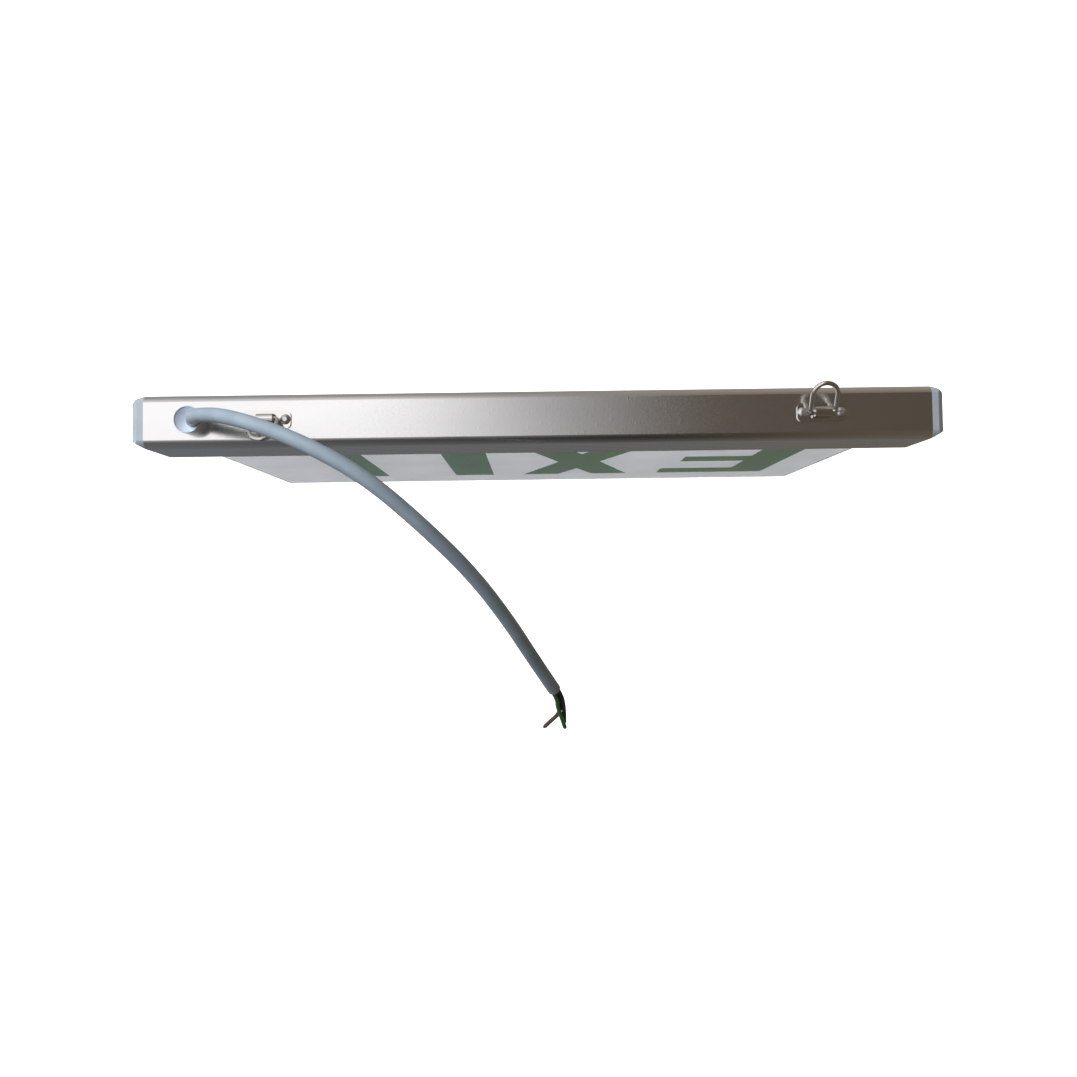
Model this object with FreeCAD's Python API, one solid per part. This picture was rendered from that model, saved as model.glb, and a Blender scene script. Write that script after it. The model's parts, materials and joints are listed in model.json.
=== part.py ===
import FreeCAD, Part
import math
import os

# Hanging edge-lit exit light: a slim extruded bar with a clear legend panel clamped in its open
# underside, moulded end caps, two hinged hanger loops, and a short lead that leaves through a gland.
# Millimetres. X runs along the bar, +Y is the side from which the legend reads, +Z is up.
# The origin is the middle of the bar's top face, between the two hangers.

Vec = FreeCAD.Vector
along_x = Vec(1, 0, 0)
along_y = Vec(0, 1, 0)

# how far a cutting tool runs past the face that it opens, and how near two heights count as one
past = 1.0
same_height = 0.01

# bar: outer section, walls and the shelf that divides it
profile_length = 364.0
bar_width = 24.8
bar_height = 35.0
top_flat_width = 17.6
shoulder_drop = 4.4
shoulder_bulge = 0.775
wall = 1.3
roof = -1.4
roof_half = 7.9
chamber_shoulder = -5.3
shelf_top = -17.6
shelf_thickness = 1.2

# bar: fine flutes on the sides, ribs for the driver board, screw channels, hook grooves
flute_count = 5
flute_depth = 0.3
flute_width = 0.7
flute_first = -9.0
flute_pitch = 5.2
rib_top = -15.9
rib_thickness = 0.9
rib_reach = 1.1
rib_root = 0.2
channel_y = 6.4
channel_z = -18.2
channel_radius = 2.2
channel_bore = 1.25
hook_height = -30.4
groove_depth = 0.45
groove_half = 0.5

# end caps, with tongues that slide into the bar
cap_thickness = 6.0
cap_top_bevel = 3.0
cap_corner_inset = 3.4
cap_edge_round = 0.6
tongue_depth = 5.0
tongue_root = 1.0
tongue_gap = 0.3
tongue_thickness = 1.2
roof_tongue_half = 5.5
shelf_tongue_half = 3.2
side_tongue_top = -7.5
side_tongue_bottom = -13.0
cap_hole = 1.6
cap_sink = 2.6

# end screws
end_screw_length = 14.0
end_screw_head = 2.4
end_screw_head_height = 1.2
end_screw_dome = 1.5
end_screw_dome_height = 0.6
cross_half = 1.4
cross_width = 0.5
cross_depth = 0.9

# legend panel
panel_length = 360.0
panel_thickness = 6.0
panel_top = -21.6
panel_bottom = -267.0
panel_chamfer = 0.5

# clamp strips on both sides of the panel
strip_floor = 1.6
strip_web = 1.6
strip_web_top = -24.2
strip_lip = 1.1
strip_lip_top = -27.5
strip_gap = 0.1
strip_hook = 0.35
strip_hook_half = 0.4

# screws and nuts through strips and panel
panel_screw_xs = (-150.0, -50.0, 50.0, 150.0)
panel_screw_z = -28.0
panel_hole = 1.6
panel_screw_radius = 1.5
panel_screw_length = 12.6
panel_screw_head = 2.8
panel_screw_head_height = 2.0
drive_slot_half = 1.6
drive_slot_width = 0.6
drive_slot_depth = 0.8
nut_flats = 5.5
nut_height = 2.2
nut_bore = 1.55

# light source under the shelf
led_board_length = 344.0
led_board_width = 7.8
led_board_thickness = 1.2
chip_count = 17
chip_pitch = 20.0
chip_length = 3.5
chip_width = 2.8
chip_height = 0.8

# driver board and what stands on it
board_thickness = 1.6
driver_start = -142.0
driver_length = 126.0
driver_width = 21.4
driver_hole_inset = 6.0
driver_hole_y = 7.5
driver_hole = 1.4
transformer_x = -82.0
transformer_length = 20.0
transformer_width = 16.0
transformer_yoke = 2.4
transformer_leg = 2.6
transformer_window = 6.0
bobbin_overhang = 2.0
can_sizes = ((-60.0, -4.0, 4.0, 10.4), (-60.0, 5.0, 3.15, 9.0), (-34.0, 2.0, 3.15, 9.0))
can_chamfer = 0.5
terminal_x = -129.5
terminal_length = 9.0
terminal_width = 15.2
terminal_height = 8.4
terminal_pitch = 5.0
entry_width = 3.0
entry_low = 1.2
entry_high = 4.2
entry_depth = 6.0
well_radius = 1.7
well_floor = 4.6

# battery cells and their snap clips
cell_radius = 5.25
cell_length = 44.5
cell_axis_z = -9.4
cell_starts = (12.0, 58.0, 104.0)
cell_nub_radius = 1.9
cell_nub_height = 1.0
clip_length = 10.0
clip_wall = 1.1
clip_foot = 1.3
clip_foot_gap = 0.1
clip_post_half = 3.0
clip_fit = 0.05
clip_mouth_half = 6.4
clip_mouth_rise = 7.6

# hangers: foot, rolled knuckle, rivets and the wire loop that turns in the knuckle
hanger_left_x = -125.0
hanger_right_x = 130.5
foot_length = 22.4
foot_width = 8.4
foot_thickness = 1.0
foot_corner = 2.4
knuckle_length = 7.6
knuckle_radius = 2.35
knuckle_back = 1.15
hinge_height = 3.2
loop_wire_radius = 1.1
loop_pin_clearance = 0.05
loop_half_width = 5.7
loop_reach = 13.9
loop_foot_bend = 1.6
loop_foot_end = 1.2
loop_left_lean = 140.0
loop_right_lean = 33.5
rivet_offset = 8.8
rivet_shank = 1.5
rivet_head = 2.4
rivet_brow = 2.0
rivet_crown = 1.0
rivet_skirt_height = 0.8
rivet_crown_height = 0.6
rivet_tail = 2.3
rivet_tail_height = 1.2
hole_gap = 0.1

# gland and its nut
gland_x = -158.8
gland_y = -0.6
gland_foot = 6.1
gland_radius = 6.3
gland_height = 9.0
gland_lip = 0.35
gland_mouth = 5.6
gland_cup_radius = 5.2
gland_cup_height = 4.6
gland_throat = 3.2
gland_throat_height = 1.6
gland_grip = 0.05
gland_stem = 5.0
gland_stem_length = 6.4
gland_nut_flats = 13.0
gland_nut_height = 3.0
gland_nut_gap = 0.05

# lead and its stripped-back cores
lead_diameter = 6.2
core_diameter = 2.1
bend_share = 0.45

# controls in the underside: test button, its switch and three light pipes
button_x = 120.0
button_y = 7.3
button_radius = 2.2
button_below = 1.2
button_above = 0.5
button_chamfer = 0.5
button_hole_gap = 0.3
collar_gap = 0.3
collar_height = 1.0
collar_half_length = 4.4
collar_half_width = 2.1
control_board_start = 76.0
control_board_end = 128.0
control_board_inner = 4.8
control_board_outer = 10.9
control_board_bottom = -27.5
control_board_thickness = 1.2
switch_half_length = 3.0
switch_half_width = 2.3
switch_bottom = -30.4
plunger_radius = 1.3
plunger_length = 0.4
light_xs = {"indicator_mains": 100.0, "indicator_charge": 92.0, "indicator_fault": 84.0}
light_radius = 1.5
light_below = 0.5
light_chamfer = 0.45
light_hole_gap = 0.05

# worked out from the above
half_length = profile_length / 2
cap_tip = half_length + cap_thickness
half_width = bar_width / 2
flat_half = top_flat_width / 2
inner_half = half_width - wall
shelf_bottom = shelf_top - shelf_thickness
floor_top = -bar_height + strip_floor
board_top = rib_top + board_thickness
panel_half = panel_thickness / 2
clamp_face = panel_half + strip_gap + strip_web
button_bottom = -bar_height - button_below
light_bottom = -bar_height - light_below

# the lead's route, from inside the gland, over in an arch and down in front of the bar
lead_route = [
    (-158.8, -0.6, -0.4), (-153.7, -1.0, 17.6), (-144.8, -2.9, 34.0), (-130.7, -5.8, 49.5),
    (-112.2, -11.9, 61.0), (-90.2, -21.4, 67.6), (-67.8, -34.4, 67.4), (-45.9, -54.0, 58.6),
    (-28.0, -72.9, 43.6), (-14.4, -92.5, 25.0), (-4.1, -110.4, 5.4), (5.7, -126.7, -14.0),
]

# the three stripped-back cores, from the end of the sheath
core_routes = {
    "core_earth": [(4.854, -127.739, -13.555), (7.235, -131.698, -18.268), (7.44, -136.48, -26.0),
                   (9.56, -142.67, -33.0), (11.21, -148.38, -40.5)],
    "core_neutral": [(7.013, -126.295, -13.677), (9.394, -130.255, -18.39),
                     (11.14, -136.63, -27.0), (12.18, -141.78, -35.0), (12.84, -145.94, -42.0)],
    "core_live": [(5.063, -125.836, -15.048), (7.804, -130.396, -20.475), (9.16, -137.17, -30.5),
                  (7.91, -141.79, -37.5), (4.35, -145.34, -41.5), (1.42, -148.48, -44.5)],
}


def save(name, shape):
    shape.exportStep("parts/" + name + ".step")


def box(low, high):
    size = Vec(*high) - Vec(*low)
    return Part.makeBox(size.x, size.y, size.z, Vec(*low))


def block(x, y, base, length, width, height):
    """A box centred on x and y that stands on the height base."""
    return box((x - length / 2, y - width / 2, base), (x + length / 2, y + width / 2, base + height))


def rod(x, y, low, high, radius):
    return Part.makeCylinder(radius, high - low, Vec(x, y, low))


def joined(shapes):
    """One solid from shapes that overlap or share faces."""
    whole = shapes[0]
    for shape in shapes[1:]:
        whole = whole.fuse(shape)
    return whole.removeSplitter()


def polygon_face(corners):
    return Part.Face(Part.makePolygon(corners + corners[:1]))


def section_face(points):
    """A flat face in the YZ plane from (y, z) points."""
    return polygon_face([Vec(0, y, z) for y, z in points])


def rectangle(y0, z0, y1, z1):
    return section_face([(y0, z0), (y1, z0), (y1, z1), (y0, z1)])


def disc(y, z, radius):
    circle = Part.Circle(Vec(0, y, z), along_x, radius)
    return Part.Face(Part.Wire(circle.toShape()))


def run_along(face, start, length):
    face = face.copy()
    face.translate(Vec(start, 0, 0))
    return face.extrude(along_x * length)


def mirrored(shape, normal):
    return shape.mirror(Vec(0, 0, 0), normal)


def rim_at(solid, height):
    """The closed edges that lie at a height."""
    return [edge for edge in solid.Edges
            if edge.Closed and abs(edge.Vertexes[0].Z - height) < same_height]


def hexagon(across_flats, centre, first_axis, second_axis):
    radius = across_flats / math.sqrt(3)
    turns = [math.radians(60 * number) for number in range(6)]
    return polygon_face([centre + first_axis * (radius * math.cos(turn))
                         + second_axis * (radius * math.sin(turn)) for turn in turns])


# ---- bar -----------------------------------------------------------------------------------

def outline_face():
    """The bar's outer section: flat top, two rounded shoulders and straight sides."""
    chord = Vec(0, half_width - flat_half, -shoulder_drop)
    bulge = Vec(0, shoulder_drop, half_width - flat_half).normalize() * shoulder_bulge
    edges = []
    ends = []
    for side in (1, -1):
        top = Vec(0, flat_half, 0)
        middle = top + chord * 0.5 + bulge
        low = top + chord
        top, middle, low = [Vec(0, side * p.y, p.z) for p in (top, middle, low)]
        foot = Vec(0, side * half_width, -bar_height)
        edges += [Part.Arc(top, middle, low).toShape(), Part.makeLine(low, foot)]
        ends.append((top, foot))
    edges.append(Part.makeLine(ends[1][0], ends[0][0]))
    edges.append(Part.makeLine(ends[0][1], ends[1][1]))
    return Part.Face(Part.Wire(Part.__sortEdges__(edges)))


def chambers():
    """The closed upper chamber and the open lower one."""
    upper = section_face([(-roof_half, roof), (roof_half, roof), (inner_half, chamber_shoulder),
                          (inner_half, shelf_top), (-inner_half, shelf_top),
                          (-inner_half, chamber_shoulder)])
    lower = rectangle(-inner_half, -bar_height, inner_half, shelf_bottom)
    return [upper, lower]


def flutes(side):
    """Fine vee grooves that run the length of one side."""
    edge = side * half_width
    grooves = []
    for number in range(flute_count):
        middle = flute_first - number * flute_pitch
        grooves.append(section_face([(edge, middle - flute_width / 2),
                                     (edge, middle + flute_width / 2),
                                     (edge - side * flute_depth, middle)]))
    return grooves


def bar_solid():
    """The extrusion, section by section: chambers, screw channels, board ribs, grooves."""
    additions, cuts = [], []
    for side in (1, -1):
        inner = side * inner_half
        additions.append(disc(side * channel_y, channel_z, channel_radius))
        additions.append(rectangle(inner + side * rib_root, rib_top - rib_thickness,
                                   inner - side * rib_reach, rib_top))
        cuts.append(disc(side * channel_y, channel_z, channel_bore))
        cuts.append(rectangle(inner, hook_height - groove_half,
                              inner + side * groove_depth, hook_height + groove_half))
        cuts += flutes(side)
    bar = run_along(outline_face(), -half_length, profile_length)
    for face in chambers():
        bar = bar.cut(run_along(face, -half_length, profile_length))
    bar = joined([bar] + [run_along(face, -half_length, profile_length) for face in additions])
    for face in cuts:
        bar = bar.cut(run_along(face, -half_length, profile_length))
    return bar.removeSplitter()


def body_profile():
    """The bar with the holes in its top for the gland's stem and the hangers' rivets."""
    bar = bar_solid().cut(rod(gland_x, gland_y, roof - past, past, gland_stem + hole_gap))
    for x in rivet_places():
        bar = bar.cut(rod(x, 0, roof - past, past, rivet_shank + hole_gap))
    return bar


# ---- end caps ------------------------------------------------------------------------------

def cap_body():
    """The bar's section with a bevelled top edge, slanted corners and a softened outer face."""
    cap = run_along(outline_face(), half_length, cap_thickness)
    bevel = polygon_face([Vec(cap_tip - cap_top_bevel, -bar_width, 0), Vec(cap_tip, -bar_width, 0),
                          Vec(cap_tip, -bar_width, -cap_top_bevel)])
    cap = cap.cut(bevel.extrude(along_y * (2 * bar_width)))
    for edge in (1, -1):
        corner = polygon_face([Vec(half_length, edge * half_width, past),
                               Vec(cap_tip, edge * half_width, past),
                               Vec(cap_tip, edge * (half_width - cap_corner_inset), past)])
        cap = cap.cut(corner.extrude(Vec(0, 0, -bar_height - 2 * past)))
    outer = [edge for edge in cap.Edges
             if all(abs(vertex.X - cap_tip) < same_height for vertex in edge.Vertexes)]
    return cap.makeFillet(cap_edge_round, outer)


def cap_tongues():
    """Locating tongues under the roof, above the shelf and inside both walls."""
    under_roof = roof - tongue_gap
    above_shelf = shelf_top + tongue_gap
    inside_wall = inner_half - tongue_gap
    tongues = [
        rectangle(-roof_tongue_half, under_roof - tongue_thickness, roof_tongue_half, under_roof),
        rectangle(-shelf_tongue_half, above_shelf, shelf_tongue_half, above_shelf + tongue_thickness),
    ]
    for edge in (1, -1):
        tongues.append(rectangle(edge * inside_wall, side_tongue_bottom,
                                 edge * (inside_wall - tongue_thickness), side_tongue_top))
    return [run_along(face, half_length - tongue_depth, tongue_depth + tongue_root)
            for face in tongues]


def end_cap(side):
    cap = joined([cap_body()] + cap_tongues())
    for edge in (1, -1):
        hole = disc(edge * channel_y, channel_z, cap_hole)
        sink = disc(edge * channel_y, channel_z, cap_sink)
        cap = cap.cut(run_along(hole, half_length - past, cap_thickness + 2 * past))
        cap = cap.cut(run_along(sink, cap_tip - cap_sink, cap_sink + past))
    return cap if side > 0 else mirrored(cap, along_x)


def end_screw(y):
    """A pan-head screw, with a cross recess, that holds the right cap."""
    seat = cap_tip - cap_sink
    shank = run_along(disc(y, channel_z, channel_bore), seat - end_screw_length, end_screw_length)
    head = Part.makeCylinder(end_screw_head, end_screw_head_height, Vec(seat, y, channel_z), along_x)
    brow = seat + end_screw_head_height
    dome = Part.makeCone(end_screw_head, end_screw_dome, end_screw_dome_height,
                         Vec(brow, y, channel_z), along_x)
    screw = joined([shank, head, dome])
    for across, high in ((cross_half, cross_width / 2), (cross_width / 2, cross_half)):
        arm = rectangle(y - across, channel_z - high, y + across, channel_z + high)
        screw = screw.cut(run_along(arm, seat + cross_depth, past + cross_depth))
    return screw


def end_screws():
    right = [end_screw(edge * channel_y) for edge in (1, -1)]
    return Part.makeCompound(right + [mirrored(screw, along_x) for screw in right])


# ---- legend panel and clamp ----------------------------------------------------------------

def panel_holes(solid):
    for x in panel_screw_xs:
        start = Vec(x, -half_width, panel_screw_z)
        solid = solid.cut(Part.makeCylinder(panel_hole, bar_width, start, along_y))
    return solid


def legend_panel():
    """A clear sheet whose lower and side edges are chamfered on both faces."""
    panel = block(0, 0, panel_bottom, panel_length, panel_thickness, panel_top - panel_bottom)
    edges = []
    for edge in panel.Edges:
        first, last = edge.Vertexes
        upright = abs(first.Z - last.Z) > past
        along_foot = abs(first.X - last.X) > past and abs(first.Z - panel_bottom) < same_height
        if upright or along_foot:
            edges.append(edge)
    return panel_holes(panel.makeChamfer(panel_chamfer, edges))


def clamp_strip():
    """One clamp strip: floor, web against the panel, sprung lip with a hook."""
    near = panel_half + strip_gap
    far = inner_half - strip_gap
    faces = [
        rectangle(near, -bar_height, far, floor_top),
        rectangle(near, floor_top, near + strip_web, strip_web_top),
        rectangle(far - strip_lip, floor_top, far, strip_lip_top),
        section_face([(far, hook_height - strip_hook_half), (far + strip_hook, hook_height),
                      (far, hook_height + strip_hook_half)]),
    ]
    return joined([run_along(face, -half_length, profile_length) for face in faces])


def trim_strip_front():
    """The strip on the reading side, with holes for the test button and the light pipes."""
    strip = strip_with_screw_holes()
    through = (-bar_height - past, floor_top + past)
    strip = strip.cut(rod(button_x, button_y, *through, button_radius + button_hole_gap))
    for x in light_xs.values():
        strip = strip.cut(rod(x, button_y, *through, light_radius + light_hole_gap))
    return strip


def strip_with_screw_holes():
    """A clamp strip whose web is drilled for the panel screws."""
    strip = clamp_strip()
    for x in panel_screw_xs:
        start = Vec(x, 0, panel_screw_z)
        strip = strip.cut(Part.makeCylinder(panel_hole, clamp_face + past, start, along_y))
    return strip


def panel_screws():
    """Slotted screws whose heads bear on the rear strip's web."""
    screws = []
    for x in panel_screw_xs:
        seat = Vec(x, -clamp_face, panel_screw_z)
        shank = Part.makeCylinder(panel_screw_radius, panel_screw_length, seat, along_y)
        head = Part.makeCylinder(panel_screw_head, panel_screw_head_height, seat, along_y * -1)
        head_face = -clamp_face - panel_screw_head_height
        slot = box((x - drive_slot_half, head_face - past, panel_screw_z - drive_slot_width / 2),
                   (x + drive_slot_half, head_face + drive_slot_depth,
                    panel_screw_z + drive_slot_width / 2))
        screws.append(joined([shank, head]).cut(slot))
    return Part.makeCompound(screws)


def panel_nuts():
    nuts = []
    for x in panel_screw_xs:
        centre = Vec(x, clamp_face, panel_screw_z)
        nut = hexagon(nut_flats, centre, along_x, Vec(0, 0, 1)).extrude(along_y * nut_height)
        nuts.append(nut.cut(Part.makeCylinder(nut_bore, nut_height + 2 * past,
                                              centre - along_y * past, along_y)))
    return Part.makeCompound(nuts)


# ---- light source, driver and battery ------------------------------------------------------

def led_board():
    return block(0, 0, shelf_bottom - led_board_thickness,
                 led_board_length, led_board_width, led_board_thickness)


def led_chips():
    base = shelf_bottom - led_board_thickness - chip_height
    middle = (chip_count - 1) / 2
    return Part.makeCompound([block((number - middle) * chip_pitch, 0, base,
                                    chip_length, chip_width, chip_height)
                              for number in range(chip_count)])


def driver_board():
    board = block(driver_start + driver_length / 2, 0, rib_top,
                  driver_length, driver_width, board_thickness)
    for x in (driver_start + driver_hole_inset, driver_start + driver_length - driver_hole_inset):
        board = board.cut(rod(x, driver_hole_y, rib_top - past, board_top + past, driver_hole))
    return board


def driver_transformer():
    """Ferrite core, with yokes above and below and a wound bobbin between its outer legs."""
    window_floor = board_top + transformer_yoke
    window_roof = window_floor + transformer_window
    leg_y = (transformer_width - transformer_leg) / 2
    bobbin_width = transformer_width - 2 * transformer_leg
    pieces = [block(transformer_x, 0, board_top, transformer_length, transformer_width, transformer_yoke),
              block(transformer_x, 0, window_roof, transformer_length, transformer_width,
                    bobbin_overhang)]
    for edge in (1, -1):
        pieces.append(block(transformer_x, edge * leg_y, window_floor,
                            transformer_length, transformer_leg, transformer_window))
    pieces.append(block(transformer_x, 0, window_floor, transformer_length + 2 * bobbin_overhang,
                        bobbin_width, transformer_window))
    return joined(pieces)


def driver_capacitors():
    cans = []
    for x, y, radius, height in can_sizes:
        can = rod(x, y, board_top, board_top + height, radius)
        cans.append(can.makeChamfer(can_chamfer, rim_at(can, board_top + height)))
    return Part.makeCompound(cans)


def terminal_block():
    """Three-way block with wire entries that face the gland and screw wells on top."""
    body = block(terminal_x, 0, board_top, terminal_length, terminal_width, terminal_height)
    face = terminal_x - terminal_length / 2
    for way in (-1, 0, 1):
        y = way * terminal_pitch
        body = body.cut(box((face - past, y - entry_width / 2, board_top + entry_low),
                            (face + entry_depth, y + entry_width / 2, board_top + entry_high)))
        body = body.cut(rod(terminal_x, y, board_top + well_floor,
                            board_top + terminal_height + past, well_radius))
    return body


def battery_cells():
    can_length = cell_length - cell_nub_height
    cells = []
    for start in cell_starts:
        can = run_along(disc(0, cell_axis_z, cell_radius), start, can_length)
        nub = run_along(disc(0, cell_axis_z, cell_nub_radius), start + can_length, cell_nub_height)
        cells.append(joined([can, nub]))
    return Part.makeCompound(cells)


def battery_clips():
    """Snap clips: an open ring round each cell on a foot that stands on the bar's ribs."""
    foot_half = inner_half - clip_foot_gap
    mouth_top = cell_axis_z + clip_mouth_rise
    ring = disc(0, cell_axis_z, cell_radius + clip_wall)
    ring = ring.fuse(rectangle(-foot_half, rib_top, foot_half, rib_top + clip_foot))
    ring = ring.fuse(rectangle(-clip_post_half, rib_top, clip_post_half, cell_axis_z))
    ring = ring.removeSplitter().cut(disc(0, cell_axis_z, cell_radius + clip_fit))
    ring = ring.cut(section_face([(0, cell_axis_z), (clip_mouth_half, mouth_top),
                                  (-clip_mouth_half, mouth_top)]))
    return Part.makeCompound([run_along(ring, start + (cell_length - clip_length) / 2, clip_length)
                              for start in cell_starts])


# ---- hangers -------------------------------------------------------------------------------

def rivet_places():
    return [centre + side * rivet_offset
            for centre in (hanger_left_x, hanger_right_x) for side in (-1, 1)]


def hanger_bracket(centre):
    """A riveted foot with a rolled knuckle across its middle."""
    foot = block(0, 0, 0, foot_length, foot_width, foot_thickness)
    corners = [edge for edge in foot.Edges
               if abs(edge.Vertexes[0].Z - edge.Vertexes[1].Z) > foot_thickness / 2]
    foot = foot.makeFillet(foot_corner, corners)
    half = knuckle_length / 2
    roll = run_along(disc(0, hinge_height, knuckle_radius), -half, knuckle_length)
    back = box((-half, knuckle_back, foot_thickness / 2), (half, knuckle_radius, hinge_height))
    bore = run_along(disc(0, hinge_height, loop_wire_radius + loop_pin_clearance),
                     -half - past, knuckle_length + 2 * past)
    bracket = joined([foot, roll, back]).cut(bore)
    for side in (-1, 1):
        bracket = bracket.cut(rod(side * rivet_offset, 0, -past, foot_thickness + past,
                                  rivet_shank + hole_gap))
    bracket.translate(Vec(centre, 0, 0))
    return bracket


def hanger_rivets():
    """Domed rivets: head on the hanger's foot, tail set under the bar's roof."""
    brow = foot_thickness + rivet_skirt_height
    rivets = []
    for x in rivet_places():
        shank = rod(x, 0, roof - rivet_tail_height / 2, brow, rivet_shank)
        skirt = Part.makeCone(rivet_head, rivet_brow, rivet_skirt_height, Vec(x, 0, foot_thickness))
        crown = Part.makeCone(rivet_brow, rivet_crown, rivet_crown_height, Vec(x, 0, brow))
        tail = rod(x, 0, roof - rivet_tail_height, roof, rivet_tail)
        rivets.append(joined([shank, skirt, crown, tail]))
    return Part.makeCompound(rivets)


def loop_path():
    """The bent wire's centre line: two feet on the hinge axis, two legs and a round arch."""
    half, foot = loop_half_width, loop_foot_bend
    arch = loop_reach - half
    inset = foot * (1 - math.sqrt(0.5))

    def leg(side):
        return [Part.makeLine(Vec(side * loop_foot_end, 0, 0), Vec(side * (half - foot), 0, 0)),
                Part.Arc(Vec(side * (half - foot), 0, 0), Vec(side * (half - inset), inset, 0),
                         Vec(side * half, foot, 0)).toShape(),
                Part.makeLine(Vec(side * half, foot, 0), Vec(side * half, arch, 0))]

    top = Part.Arc(Vec(-half, arch, 0), Vec(0, loop_reach, 0), Vec(half, arch, 0)).toShape()
    return Part.Wire(Part.__sortEdges__(leg(-1) + [top] + leg(1)))


def hanger_loop(centre, lean):
    """The wire eye whose feet turn in the knuckle; lean is its angle from +Y towards +Z."""
    loop = tube(loop_path(), loop_wire_radius)
    loop.rotate(Vec(0, 0, 0), along_x, lean)
    loop.translate(Vec(centre, 0, hinge_height))
    return loop


# ---- gland and lead ------------------------------------------------------------------------

def cable_gland():
    """A cup on a stem through the bar's top, bored for the lead, which leans out over its rim."""
    stem_end = -gland_stem_length
    lip = gland_height - gland_lip
    outer = [Vec(0, 0, stem_end), Vec(gland_stem, 0, stem_end), Vec(gland_stem, 0, 0),
             Vec(gland_foot, 0, 0), Vec(gland_radius, 0, lip)]
    crest = Vec((gland_radius + gland_mouth) / 2, 0, gland_height)
    rim, throat = Vec(gland_mouth, 0, lip), Vec(gland_throat, 0, gland_throat_height)
    cup, middle = Vec(gland_cup_radius, 0, gland_cup_height), Vec(0, 0, gland_throat_height)
    edges = [Part.makeLine(first, last) for first, last in zip(outer, outer[1:])]
    edges += [Part.Arc(outer[-1], crest, rim).toShape(), Part.Arc(rim, cup, throat).toShape(),
              Part.makeLine(throat, middle), Part.makeLine(middle, outer[0])]
    gland = Part.Face(Part.Wire(edges)).revolve(Vec(0, 0, 0), Vec(0, 0, 1), 360)
    bore = lead_diameter / 2 - gland_grip
    gland = gland.cut(rod(0, 0, stem_end - past, gland_throat_height + past, bore))
    gland.translate(Vec(gland_x, gland_y, 0))
    start, reach = Vec(*lead_route[0]), Vec(*lead_route[1]) - Vec(*lead_route[0])
    return gland.cut(Part.makeCylinder(bore, reach.Length, start, reach))


def gland_nut():
    centre = Vec(gland_x, gland_y, roof)
    nut = hexagon(gland_nut_flats, centre, along_x, along_y).extrude(Vec(0, 0, -gland_nut_height))
    return nut.cut(rod(gland_x, gland_y, roof - gland_nut_height - past, roof + past,
                       gland_stem + gland_nut_gap))


def tube(path, radius):
    """A round tube along a wire of lines and tangent arcs, as exact cylinders and tori."""
    spans = []
    for edge in path.OrderedEdges:
        start = edge.valueAt(edge.FirstParameter)
        ring = Part.Circle(start, edge.tangentAt(edge.FirstParameter), radius)
        face = Part.Face(Part.Wire(ring.toShape()))
        if isinstance(edge.Curve, Part.Circle):
            sweep = math.degrees(edge.LastParameter - edge.FirstParameter)
            spans.append(face.revolve(edge.Curve.Center, edge.Curve.Axis, sweep))
        else:
            spans.append(face.extrude(edge.valueAt(edge.LastParameter) - start))
    return spans[0].fuse(spans[1:]).removeSplitter()


def arced_route(points):
    """Straight runs joined by tangent arcs, with each arc's radius."""
    points = [Vec(*point) for point in points]
    edges, radii = [], []
    last = points[0]
    for before, corner, after in zip(points, points[1:], points[2:]):
        arrive, leave = corner - before, after - corner
        back = bend_share * min(arrive.Length, leave.Length)
        half_turn = arrive.getAngle(leave) / 2
        radius = back / math.tan(half_turn)
        radii.append(radius)
        way_in, way_out = Vec(arrive).normalize(), Vec(leave).normalize()
        first, second = corner - way_in * back, corner + way_out * back
        inward = (way_out - way_in).normalize()
        middle = corner + inward * (radius / math.cos(half_turn) - radius)
        edges.append(Part.makeLine(last, first))
        edges.append(Part.Arc(first, middle, second).toShape())
        last = second
    edges.append(Part.makeLine(last, points[-1]))
    return Part.Wire(edges), radii


def cord(name, points, diameter):
    path, radii = arced_route(points)
    solid = tube(path, diameter / 2)
    expected = math.pi * diameter ** 2 / 4 * path.Length
    print(name, "length %.1f" % path.Length, "radii", [round(radius, 1) for radius in radii],
          "volume / section x length %.4f" % (solid.Volume / expected))
    return solid


# ---- controls in the underside -------------------------------------------------------------

def test_button():
    """Push button with a collar that rests on the strip's floor."""
    stem = rod(button_x, button_y, button_bottom, floor_top + button_above, button_radius)
    stem = stem.makeChamfer(button_chamfer, rim_at(stem, button_bottom))
    seat = floor_top + collar_gap
    collar = block(button_x, button_y, seat, 2 * collar_half_length, 2 * collar_half_width,
                   collar_height)
    return joined([stem, collar])


def control_board():
    return box((control_board_start, control_board_inner, control_board_bottom),
               (control_board_end, control_board_outer, control_board_bottom + control_board_thickness))


def button_switch():
    body = box((button_x - switch_half_length, button_y - switch_half_width, switch_bottom),
               (button_x + switch_half_length, button_y + switch_half_width, control_board_bottom))
    plunger = rod(button_x, button_y, switch_bottom - plunger_length, switch_bottom, plunger_radius)
    return joined([body, plunger])


def indicator(x):
    """A light pipe that reaches from the board to just below the strip."""
    pipe = rod(x, button_y, light_bottom, control_board_bottom, light_radius)
    return pipe.makeChamfer(light_chamfer, rim_at(pipe, light_bottom))


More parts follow.
